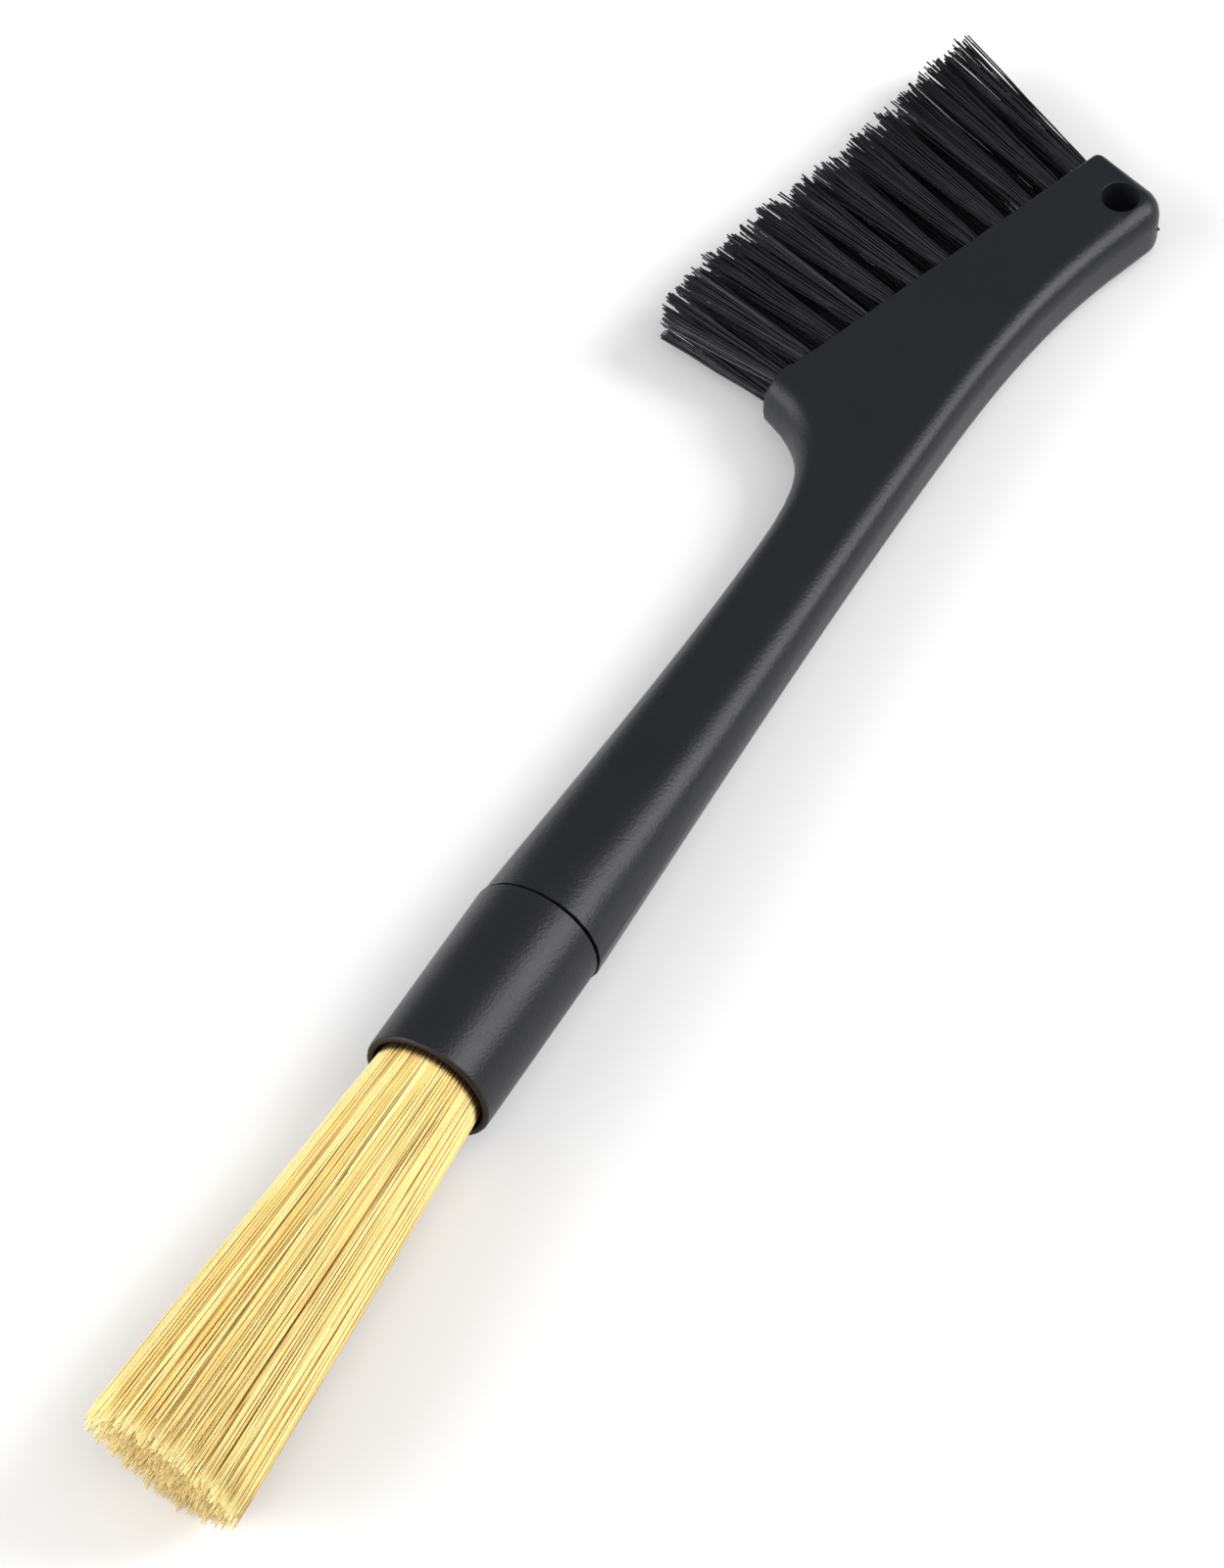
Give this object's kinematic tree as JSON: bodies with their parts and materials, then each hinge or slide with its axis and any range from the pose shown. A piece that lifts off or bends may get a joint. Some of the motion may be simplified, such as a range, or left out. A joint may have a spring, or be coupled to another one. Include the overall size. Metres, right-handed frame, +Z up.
{
  "type": "coffee machine brush",
  "caption": "Two-ended cleaning brush: a moulded handle with a slanted comb of nylon tufts along its head, and a round bundle of natural bristles in a collar.",
  "frame": {"origin": "bottom centre of the box around the whole brush, on the surface it lies on", "axes": "+X along the brush from the natural bristles to the head's tip, +Y to the side where the comb's tufts stand out, +Z up from the surface"},
  "size_m": [0.2898, 0.0596, 0.0257],
  "materials": {
    "black_plastic": "moulded satin black plastic",
    "collar_plastic": "moulded satin black plastic",
    "resin": "cast resin around the bristle roots",
    "natural_bristle": "stiff straw-yellow natural bristle",
    "black_nylon": "black nylon filament",
    "anchor_steel": "punched steel strip"
  },
  "bodies": {
    "root": {"handle": "black_plastic", "collar": "collar_plastic", "potting_resin": "resin", "natural_bristles": "natural_bristle", "tuft_upper_01": "black_nylon", "tuft_upper_02": "black_nylon", "tuft_upper_03": "black_nylon", "tuft_upper_04": "black_nylon", "tuft_upper_05": "black_nylon", "tuft_upper_06": "black_nylon", "tuft_upper_07": "black_nylon", "tuft_upper_08": "black_nylon", "tuft_upper_09": "black_nylon", "tuft_upper_10": "black_nylon", "tuft_upper_11": "black_nylon", "tuft_upper_12": "black_nylon", "tuft_lower_01": "black_nylon", "tuft_lower_02": "black_nylon", "tuft_lower_03": "black_nylon", "tuft_lower_04": "black_nylon", "tuft_lower_05": "black_nylon", "tuft_lower_06": "black_nylon", "tuft_lower_07": "black_nylon", "tuft_lower_08": "black_nylon", "tuft_lower_09": "black_nylon", "tuft_lower_10": "black_nylon", "tuft_lower_11": "black_nylon", "tuft_lower_12": "black_nylon", "anchor_upper_01": "anchor_steel", "anchor_upper_02": "anchor_steel", "anchor_upper_03": "anchor_steel", "anchor_upper_04": "anchor_steel", "anchor_upper_05": "anchor_steel", "anchor_upper_06": "anchor_steel", "anchor_upper_07": "anchor_steel", "anchor_upper_08": "anchor_steel", "anchor_upper_09": "anchor_steel", "anchor_upper_10": "anchor_steel", "anchor_upper_11": "anchor_steel", "anchor_upper_12": "anchor_steel", "anchor_lower_01": "anchor_steel", "anchor_lower_02": "anchor_steel", "anchor_lower_03": "anchor_steel", "anchor_lower_04": "anchor_steel", "anchor_lower_05": "anchor_steel", "anchor_lower_06": "anchor_steel", "anchor_lower_07": "anchor_steel", "anchor_lower_08": "anchor_steel", "anchor_lower_09": "anchor_steel", "anchor_lower_10": "anchor_steel", "anchor_lower_11": "anchor_steel", "anchor_lower_12": "anchor_steel"}
  },
  "joints": []
}
